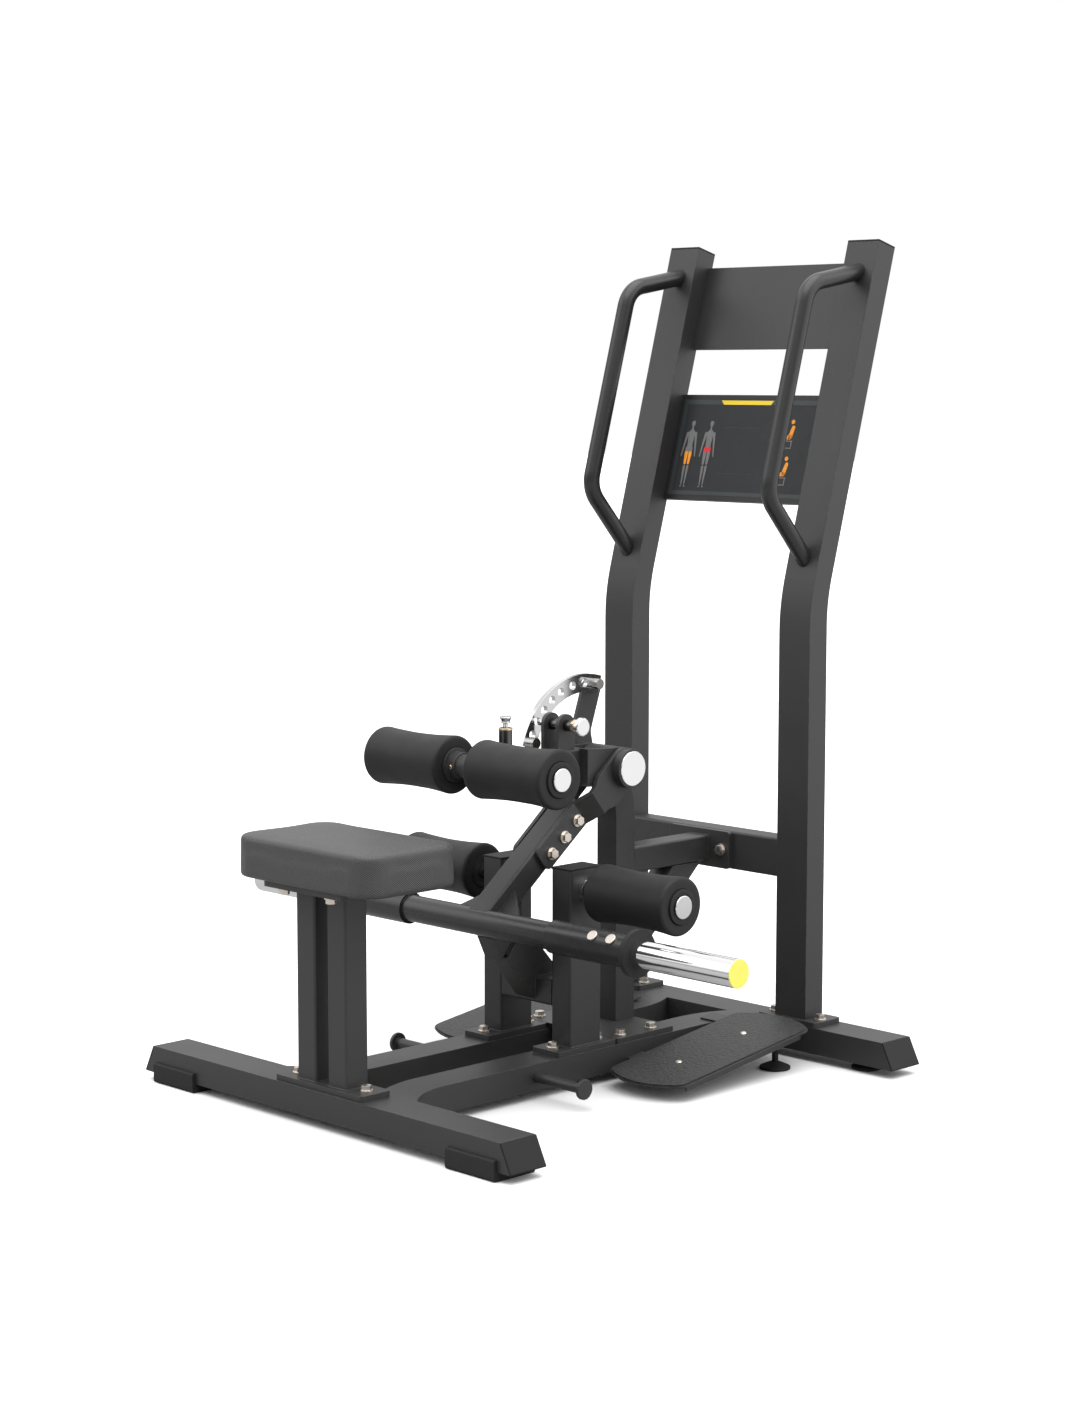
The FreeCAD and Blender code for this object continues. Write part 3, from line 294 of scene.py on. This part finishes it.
BY_SLOT = {
    "black_frame": POWDER, "chrome": CHROME, "sector_steel": SECTOR, "zinc": ZINC,
    "black_plastic": PLASTIC, "rubber": RUBBER, "foam": FOAM, "seat_vinyl": VINYL,
    "tread": TREAD, "placard_frame": PLACARD, "placard_print": PRINT_DARK,
    "yellow_cap": YELLOW, "bronze": BRONZE, "steel_shaft": SHAFT,
}
BY_NODE = {
    "carriage_pin_barrel": GUNMETAL, "sector_pin_barrel": GUNMETAL, "tube_end_caps": END_CAP,
    "sector_stops": DULL_PLATE, "handle_left": GLOSSY_POWDER, "handle_right": GLOSSY_POWDER,
    "weight_tube": GLOSSY_POWDER,
}
for part in frame["record"]["subparts"]:
    slots = NODES[part["node"]].data.materials
    slots.clear()
    slots.append(BY_NODE.get(part["node"], BY_SLOT[part["material_slot"]]))


# ---------------------------------------------------------------- mesh helpers

def piece(name, form, material, body):
    """An object of the machine, riding on one of its bodies."""
    mesh = bpy.data.meshes.new(name)
    bmesh.ops.recalc_face_normals(form, faces=form.faces)
    form.to_mesh(mesh)
    form.free()
    made = bpy.data.objects.new(name, mesh)
    bpy.context.scene.collection.objects.link(made)
    made.data.materials.append(material)
    made.data.shade_smooth()
    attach(made, body)
    return made


def apply_modifiers(thing):
    """Make the modifiers' result the object's own mesh."""
    graph = bpy.context.evaluated_depsgraph_get()
    mesh = bpy.data.meshes.new_from_object(thing.evaluated_get(graph))
    thing.modifiers.clear()
    thing.data = mesh


def lathe(profile, steps=64):
    """A closed surface turned about X from (x, radius) points."""
    form = bmesh.new()
    rings = []
    for x, radius in profile:
        ring = []
        for step in range(steps):
            angle = 2 * math.pi * step / steps
            spot = (x, radius * math.cos(angle), radius * math.sin(angle))
            ring.append(form.verts.new(spot))
        rings.append(ring)
    for first, second in zip(rings, rings[1:] + rings[:1]):
        for step in range(steps):
            after = (step + 1) % steps
            form.faces.new((first[step], first[after], second[after], second[step]))
    return form


def arc(centre, radius, start, end, steps):
    """Points of an arc in the (x, radius) plane, angles in degrees."""
    angles = [math.radians(start + (end - start) * step / steps) for step in range(steps + 1)]
    return [(centre[0] + radius * math.cos(a), centre[1] + radius * math.sin(a))
            for a in angles]


# ---------------------------------------------------------------- foam rollers

PLUG_PROUD = 0.0035
PLUG_RADIUS = 0.032
ROLLER_BORE = 0.013


def uneven(thing, centre, amount):
    """Press shallow dents into a turned surface, as handled foam has."""
    for vertex in thing.data.vertices:
        x, y, z = vertex.co - centre
        turn = math.atan2(z, y)
        wave = math.sin(3 * turn + 31 * x) + math.sin(5 * turn - 67 * x + 1.3)
        wave += math.sin(2 * turn + 97 * x + 0.4)
        shrink = 1 - amount * (3 + wave) / 6 / max(math.hypot(y, z), 0.02)
        vertex.co.y = centre.y + y * shrink
        vertex.co.z = centre.z + z * shrink


def roller(node, side):
    """A waisted foam roller, square at its ends, with a plastic plug in each of them."""
    low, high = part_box(node)
    radius = (high.z - low.z) / 2 - 0.0002
    waist = radius - 0.0042
    half = (high.x - low.x - PLUG_PROUD) / 2
    centre = (low + high) / 2 - Vector((side * PLUG_PROUD / 2, 0, 0))
    edge = 0.006
    reach = half - edge
    sunk = half - 0.004
    corner = arc((reach, radius - edge), edge, 90, 0, 5)
    end = corner + [(half, 0.040), (half, 0.0335), (half - 0.001, 0.0326), (sunk, 0.0322),
                    (sunk, ROLLER_BORE)]
    along = [step / 12 * reach for step in range(-11, 12)]
    profile = [(-x, r) for x, r in reversed(end)]
    profile += [(x, waist + (radius - waist) * (abs(x) / reach) ** 2) for x in along]
    profile += end
    foam = piece(node + "_foam", lathe([(x * side, r) for x, r in profile], 96), FOAM, node)
    foam.data.transform(Matrix.Translation(centre))
    uneven(foam, centre, 0.0005)
    foam.data.set_sharp_from_angle(angle=math.radians(35))
    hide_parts(node)
    for place, way, proud in (("outer", side, PLUG_PROUD), ("inner", -side, 0.0)):
        face = half + proud
        outline = [(half - 0.006, ROLLER_BORE), (half - 0.006, PLUG_RADIUS)]
        outline += arc((face - 0.001, PLUG_RADIUS - 0.001), 0.001, 90, 0, 3)
        outline += [(face, 0.0245), (face - 0.0008, 0.0238), (face - 0.0008, ROLLER_BORE)]
        plug = piece(f"{node}_plug_{place}", lathe([(x * way, r) for x, r in outline]), PLUG,
                     node)
        plug.data.transform(Matrix.Translation(centre))
        plug.data.set_sharp_from_angle(angle=math.radians(35))


for level in ("lower", "upper"):
    for side_name, side in (("right", 1), ("left", -1)):
        roller(f"{level}_roller_{side_name}", side)


# ---------------------------------------------------------------- seat pad

def rounded_box(half, corner, edge, steps=6):
    """A block with rounded corners in plan and rolled edges above and below."""
    form = bmesh.new()
    turns = [math.radians(90 * step / steps) for step in range(steps + 1)]
    levels = [(-half.z + edge - edge * math.cos(a), edge - edge * math.sin(a)) for a in turns]
    levels += [(-z, pull) for z, pull in reversed(levels)]
    rings = []
    for z, pull in levels:
        ring = []
        for quarter, (sx, sy) in enumerate(((1, 1), (-1, 1), (-1, -1), (1, -1))):
            for turn in turns:
                angle = math.pi / 2 * quarter + turn
                reach = corner - pull
                ring.append(form.verts.new((sx * (half.x - corner) + reach * math.cos(angle),
                                            sy * (half.y - corner) + reach * math.sin(angle),
                                            z)))
        rings.append(ring)
    for first, second in zip(rings, rings[1:]):
        for index in range(len(first)):
            after = (index + 1) % len(first)
            form.faces.new((first[index], first[after], second[after], second[index]))
    form.faces.new(rings[0][::-1])
    form.faces.new(rings[-1])
    return form


def swollen(thing, board_top, limit):
    """Let the cover swell over its foam, held at its board; no point moves past a limit.

    The swelling is evened out between neighbours, as a taut cover does.
    """
    remesh = thing.modifiers.new("even_mesh", "REMESH")
    remesh.mode = "VOXEL"
    remesh.voxel_size = 0.004
    apply_modifiers(thing)
    start = [vertex.co.copy() for vertex in thing.data.vertices]
    held = thing.vertex_groups.new(name="board")
    held.add([v.index for v in thing.data.vertices if v.co.z < board_top], 1.0, "REPLACE")
    cloth = thing.modifiers.new("cover", "CLOTH")
    settings = cloth.settings
    settings.quality = 5
    settings.mass = 0.3
    settings.tension_stiffness = 25
    settings.compression_stiffness = 25
    settings.use_pressure = True
    settings.uniform_pressure_force = 4
    settings.vertex_group_mass = "board"
    settings.effector_weights.gravity = 0
    cloth.point_cache.frame_start = 1
    cloth.point_cache.frame_end = 20
    for number in range(1, 21):
        bpy.context.scene.frame_set(number)
    apply_modifiers(thing)
    moves = [vertex.co - before for vertex, before in zip(thing.data.vertices, start)]
    for _ in range(8):
        sums = [move.copy() for move in moves]
        counts = [1] * len(moves)
        for edge in thing.data.edges:
            a, b = edge.vertices
            sums[a] += moves[b]
            sums[b] += moves[a]
            counts[a] += 1
            counts[b] += 1
        moves = [total / count for total, count in zip(sums, counts)]
    for vertex, before, move in zip(thing.data.vertices, start, moves):
        vertex.co = before + move * min(1.0, limit / max(move.length, 1e-9))
    bpy.context.scene.frame_set(1)


def crowned(thing, centre, half, height):
    """Raise the top to a low crown, flat over most of the seat."""
    for vertex in thing.data.vertices:
        place = vertex.co - centre
        if place.z > 0:
            across = 1 - min(1, abs(place.x) / half.x) ** 4
            along = 1 - min(1, abs(place.y) / half.y) ** 4
            vertex.co.z += height * across * along * (place.z / half.z)


def seat():
    """A padded board: straight sides, a rolled top edge and a low crown."""
    low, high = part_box("seat_pad")
    centre = (low + high) / 2
    half = (high - low) / 2
    crown = 0.003
    room = 0.0018       # left for the cover to swell into
    corner = 0.043
    edge = 0.0085
    small = Vector((half.x - room, half.y - room, half.z - (crown + room) / 2))
    centre.z -= (crown + room) / 2
    made = piece("seat_cushion", rounded_box(small, corner, edge), VINYL, "frame")
    made.data.transform(Matrix.Translation(centre))
    swollen(made, low.z + 0.004, 0.0013)
    crowned(made, centre, small, crown)
    subdivision = made.modifiers.new("smooth", "SUBSURF")
    subdivision.levels = 1
    subdivision.render_levels = 1
    apply_modifiers(made)
    made.data.shade_smooth()
    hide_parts("seat_pad")


seat()


# ---------------------------------------------------------------- placard print

FACE_LEAN = math.radians(15.6)
FACE_THICK = 0.002
FACE_TALL = 0.194
FACE_HALF = 0.182


def on_face(outline, name, material, lift=0.0):
    """A thin printed shape on the placard, from (across, up its face) points."""
    low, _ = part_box("placard_face")
    up = Vector((0, math.sin(FACE_LEAN), math.cos(FACE_LEAN)))
    out = Vector((0, -math.cos(FACE_LEAN), math.sin(FACE_LEAN)))
    base = Vector((0, low.y, low.z + FACE_THICK * math.sin(FACE_LEAN)))
    form = bmesh.new()
    rings = []
    for shift in (0.0, 0.0003):
        rings.append([form.verts.new(base + Vector((x, 0, 0)) + up * v + out * (lift + shift))
                      for x, v in outline])
    form.faces.new(rings[1])
    form.faces.new(rings[0][::-1])
    for index in range(len(outline)):
        after = (index + 1) % len(outline)
        form.faces.new((rings[0][index], rings[0][after], rings[1][after], rings[1][index]))
    made = piece(name, form, material, "frame")
    made.data.shade_flat()


def limb(start, end, thick_start, thick_end):
    """The outline of a tapering limb with round ends."""
    way = math.atan2(end[1] - start[1], end[0] - start[0])
    points = []
    for spot, thick, turn in ((start, thick_start, 90), (end, thick_end, -90)):
        for step in range(9):
            angle = way + math.radians(turn + 180 * step / 8)
            points.append((spot[0] + thick * math.cos(angle), spot[1] + thick * math.sin(angle)))
    return points


def figure(name, middle, hips, legs):
    """A plain standing figure, its hips and thighs in colour to show what the machine works."""
    parts = [("head", (0, 0.146), (0, 0.143), 0.0048, 0.0042, PRINT_GREY),
             ("neck", (0, 0.137), (0, 0.131), 0.0022, 0.0026, PRINT_GREY),
             ("chest", (0, 0.124), (0, 0.108), 0.0088, 0.0070, PRINT_GREY),
             ("waist", (0, 0.108), (0, 0.094), 0.0066, 0.0066, PRINT_GREY)]
    for side in (-1, 1):
        parts += [(f"arm_{side}", (side * 0.011, 0.125), (side * 0.0145, 0.103), 0.0030, 0.0022,
                   PRINT_GREY),
                  (f"hand_{side}", (side * 0.0145, 0.103), (side * 0.018, 0.079), 0.0021, 0.0014,
                   PRINT_GREY),
                  (f"hip_{side}", (side * 0.0047, 0.094), (side * 0.0047, 0.088), 0.0045, 0.0046,
                   hips),
                  (f"thigh_{side}", (side * 0.0050, 0.084), (side * 0.0046, 0.064), 0.0044,
                   0.0028, legs),
                  (f"shin_{side}", (side * 0.0046, 0.057), (side * 0.0040, 0.022), 0.0031,
                   0.0014, PRINT_GREY),
                  (f"foot_{side}", (side * 0.0042, 0.018), (side * 0.0058, 0.0165), 0.0016,
                   0.0012, PRINT_GREY)]
    for order, (part, start, end, thick_start, thick_end, ink) in enumerate(parts):
        ends = [(middle + x, v) for x, v in (start, end)]
        on_face(limb(*ends, thick_start, thick_end), f"print_{name}_{part}", ink,
                lift=0.00002 * order)


def rectangle(left, right, bottom, top):
    return [(left, bottom), (right, bottom), (right, top), (left, top)]


def placard():
    """A border strip, a yellow bar, two plain figures, two rules and two small pictograms."""
    edge = 0.010
    for name, outline in (
            ("top", rectangle(-FACE_HALF, FACE_HALF, FACE_TALL - edge, FACE_TALL)),
            ("bottom", rectangle(-FACE_HALF, FACE_HALF, 0.0, edge * 0.8)),
            ("left", rectangle(-FACE_HALF, edge - FACE_HALF, edge * 0.8, FACE_TALL - edge)),
            ("right", rectangle(FACE_HALF - edge, FACE_HALF, edge * 0.8, FACE_TALL - edge))):
        on_face(outline, f"print_border_{name}", PRINT_EDGE)
    on_face([(-0.077, 0.184), (0.045, 0.184), (0.051, 0.1925), (-0.085, 0.1925)],
            "print_bar", PRINT_YELLOW, lift=0.0003)
    figure("front", -0.148, PRINT_GREY, PRINT_ORANGE)
    figure("back", -0.099, PRINT_RED, PRINT_GREY)
    for height in (0.137, 0.0445):
        on_face(rectangle(-0.063, 0.028, height, height + 0.0006), f"print_rule_{height}",
                PRINT_RULE)
    for order, base in enumerate((0.118, 0.045)):
        for name, outline, ink in (
                ("seat", rectangle(0.096, 0.116, base - 0.006, base - 0.004), PRINT_GREY),
                ("post", rectangle(0.113, 0.115, base - 0.018, base - 0.006), PRINT_GREY),
                ("foot", rectangle(0.096, 0.115, base - 0.020, base - 0.018), PRINT_GREY),
                ("body", limb((0.108, base + 0.003), (0.113, base + 0.022), 0.0050, 0.0040),
                 PRINT_ORANGE),
                ("head", limb((0.110, base + 0.033), (0.110, base + 0.0335), 0.0042, 0.0042),
                 PRINT_ORANGE),
                ("leg", limb((0.108, base + 0.003), (0.096, base + 0.001), 0.0046, 0.0030),
                 PRINT_ORANGE)):
            on_face(outline, f"print_small_{order}_{name}", ink, lift=0.00005)


placard()

# ---------------------------------------------------------------- small hardware

def hexagon(name, spot, way, radius, tall, body):
    """A small hexagonal piece of yellow zinc standing on a surface."""
    form = bmesh.new()
    bmesh.ops.create_cone(form, cap_ends=True, segments=6, radius1=radius, radius2=radius,
                          depth=tall)
    level = [edge for edge in form.edges
             if abs(edge.verts[0].co.z - edge.verts[1].co.z) < 1e-6]
    bmesh.ops.bevel(form, geom=level, offset=0.0005, segments=2, affect="EDGES")
    made = piece(name, form, GOLD_ZINC, body)
    turn = Vector(way).to_track_quat("Z", "Y").to_matrix().to_4x4()
    made.data.transform(Matrix.Translation(spot) @ turn @ Matrix.Translation((0, 0, tall / 2)))
    made.data.set_sharp_from_angle(angle=math.radians(30))


def bead(name, corners, radius=0.0022, pitch=0.0034):
    """A weld run round a closed path: a ribbed fillet."""
    form = bmesh.new()
    around = 6
    for start, end in zip(corners, corners[1:] + corners[:1]):
        first_ring = None
        previous = None
        start, end = Vector(start), Vector(end)
        way = (end - start).normalized()
        side = way.orthogonal().normalized()
        other = way.cross(side)
        count = max(2, round((end - start).length / (pitch / 2)))
        for step in range(count):
            swell = radius * (1.0 if step % 2 else 0.78)
            spot = start + (end - start) * step / count
            ring = [form.verts.new(spot + side * swell * math.cos(math.tau * k / around)
                                   + other * swell * math.sin(math.tau * k / around))
                    for k in range(around)]
            if previous:
                for k in range(around):
                    form.faces.new((previous[k], previous[(k + 1) % around],
                                    ring[(k + 1) % around], ring[k]))
            first_ring = first_ring or ring
            previous = ring
        form.faces.new(first_ring[::-1])
        form.faces.new(previous)
    piece(name, form, POWDER, "frame")


def middle(node):
    low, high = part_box(node)
    return (low + high) / 2


def hub_screws():
    """A set screw in the front of each hub of the carriage."""
    axis = middle("upper_axle")
    hub_radius = 0.0243
    for side in (-1, 1):
        hexagon(f"hub_screw_{side}", Vector((side * 0.022, axis.y - hub_radius, axis.z)),
                (0, -1, 0), 0.0042, 0.0030, "pad_carriage")


def post_welds():
    """A weld run round the foot of each post."""
    for node, inner, outer in (("seat_posts", 0.016, 0.066), ("lower_posts", 0.0655, 0.1155)):
        low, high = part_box(node)
        for side in (-1, 1):
            near, far = sorted((side * inner, side * outer))
            bead(f"{node}_weld_{side}", [(near, low.y, low.z), (far, low.y, low.z),
                                         (far, high.y, low.z), (near, high.y, low.z)])


def pin_collars():
    """A ring on top of the carriage pin's barrel and a nut on the end of the sector pin's."""
    axis = middle("carriage_pin_barrel")
    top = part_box("carriage_pin_barrel")[1].z
    form = lathe([(0.0, 0.0060), (0.0, 0.0126), (0.0006, 0.0132), (0.0034, 0.0132),
                  (0.0040, 0.0126), (0.0040, 0.0060)])
    ring = piece("pop_pin_ring", form, GOLD_ZINC, "pad_lever")
    upright = Vector((0, 0, 1)).to_track_quat("X", "Y").to_matrix().to_4x4()
    ring.data.transform(Matrix.Translation((axis.x, axis.y, top - 0.0040)) @ upright)
    ring.data.set_sharp_from_angle(angle=math.radians(30))
    axis = middle("sector_pin_barrel")
    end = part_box("sector_pin_barrel")[1].x
    hexagon("sector_pin_nut", Vector((end - 0.0002, axis.y, axis.z)), (1, 0, 0), 0.0125, 0.0070,
            "pad_lever")


hub_screws()
post_welds()
pin_collars()

# ---------------------------------------------------------------- stage

class Sky:
    """The studio's light by direction, as nodes in the world."""

    def __init__(self, world):
        self.nodes = world.node_tree.nodes
        self.links = world.node_tree.links
        self.way = self.nodes.new("ShaderNodeTexCoord").outputs["Generated"]

    def towards(self, way, start, end, amount):
        """Light that grows as a direction nears a given one, by the cosine between them."""
        dot = self.nodes.new("ShaderNodeVectorMath")
        dot.operation = "DOT_PRODUCT"
        self.links.new(self.way, dot.inputs[0])
        dot.inputs[1].default_value = Vector(way).normalized()
        ramp = self.nodes.new("ShaderNodeMapRange")
        ramp.interpolation_type = "SMOOTHSTEP"
        ramp.inputs["From Min"].default_value = start
        ramp.inputs["From Max"].default_value = end
        ramp.inputs["To Max"].default_value = amount
        self.links.new(dot.outputs["Value"], ramp.inputs["Value"])
        return ramp.outputs["Result"]

    def total(self, base, lobes):
        value = base
        for lobe in lobes:
            add = self.nodes.new("ShaderNodeMath")
            add.operation = "ADD"
            if isinstance(value, float):
                add.inputs[0].default_value = value
            else:
                self.links.new(value, add.inputs[0])
            self.links.new(lobe, add.inputs[1])
            value = add.outputs[0]
        return value


def seen_or_lit(nodes, links, lit, seen, output):
    """One shader for what the camera sees of the stage, another for what lights the object."""
    path = nodes.new("ShaderNodeLightPath")
    choose = nodes.new("ShaderNodeMixShader")
    links.new(path.outputs["Is Camera Ray"], choose.inputs["Fac"])
    links.new(lit, choose.inputs[1])
    links.new(seen, choose.inputs[2])
    links.new(choose.outputs[0], output)


def stage():
    """A pale floor under a soft, even studio sky."""
    form = bmesh.new()
    bmesh.ops.create_grid(form, x_segments=2, y_segments=2, size=30)
    mesh = bpy.data.meshes.new("studio_floor")
    form.to_mesh(mesh)
    form.free()
    floor = bpy.data.objects.new("studio_floor", mesh)
    bpy.context.scene.collection.objects.link(floor)
    m = Tree("pale_floor")
    pale = m.finish(grey(0.92), 0.9)
    m.shader.inputs["Specular IOR Level"].default_value = 0.0
    bounce = m.add("ShaderNodeBsdfDiffuse")
    bounce.inputs["Color"].default_value = grey(0.34)
    glow = m.add("ShaderNodeEmission")
    glow.inputs["Strength"].default_value = 1.1
    away = m.add("ShaderNodeVectorMath", operation="DOT_PRODUCT")
    m.link(m.place, away.inputs[0])
    away.inputs[1].default_value = (0.74, 0.67, 0.0)
    lit = m.add("ShaderNodeMixShader")
    m.link(m.between(away.outputs["Value"], 1.9, 3.6), lit.inputs["Fac"])
    m.link(bounce.outputs[0], lit.inputs[1])
    m.link(glow.outputs[0], lit.inputs[2])
    output = m.tree.nodes["Material Output"].inputs["Surface"]
    seen_or_lit(m.tree.nodes, m.tree.links, lit.outputs[0], m.shader.outputs[0], output)
    floor.data.materials.append(pale)
    floor.location = (0, 0, -0.0005)

    world = bpy.data.worlds.new("studio")
    bpy.context.scene.world = world
    world.use_nodes = True
    nodes = world.node_tree.nodes
    links = world.node_tree.links
    sky = Sky(world)
    strength = sky.total(0.22, [
        sky.towards((0, 0, 1), 0.10, 0.60, 0.95),
        sky.towards((0.74, 0.67, 0.05), 0.55, 0.97, 1.25),
        sky.towards((-0.62, -0.62, 0.48), 0.86, 0.97, 1.10),
        sky.towards((-0.70, 0.70, 0.15), 0.60, 0.95, 0.25),
    ])
    back = nodes["Background"]
    back.inputs["Color"].default_value = WHITE
    links.new(strength, back.inputs["Strength"])
    white = nodes.new("ShaderNodeBackground")
    white.inputs["Color"].default_value = WHITE
    seen_or_lit(nodes, links, back.outputs[0], white.outputs[0],
                nodes["World Output"].inputs["Surface"])

    lamp = bpy.data.lights.new("overhead", "SUN")
    lamp.energy = 2.4
    lamp.angle = math.radians(70)
    overhead = bpy.data.objects.new("overhead", lamp)
    bpy.context.scene.collection.objects.link(overhead)
    overhead.rotation_euler = Vector((-0.15, 0.1, -1)).to_track_quat("-Z", "Y").to_euler()
    bpy.context.scene.view_settings.view_transform = "Standard"


def camera():
    """A long lens to the right of and in front of the seat, looking a little down."""
    turn = math.radians(45.69)
    drop = math.radians(6.79)
    spot = Vector((3.6477, -3.6325, 1.2923))
    way = Vector((-math.sin(turn) * math.cos(drop), math.cos(turn) * math.cos(drop),
                  -math.sin(drop)))
    lens = bpy.data.cameras.new("camera")
    lens.lens = 71.11
    lens.sensor_width = 36
    made = bpy.data.objects.new("camera", lens)
    bpy.context.scene.collection.objects.link(made)
    made.location = spot
    made.rotation_euler = way.to_track_quat("-Z", "Y").to_euler()
    bpy.context.scene.camera = made


stage()
camera()
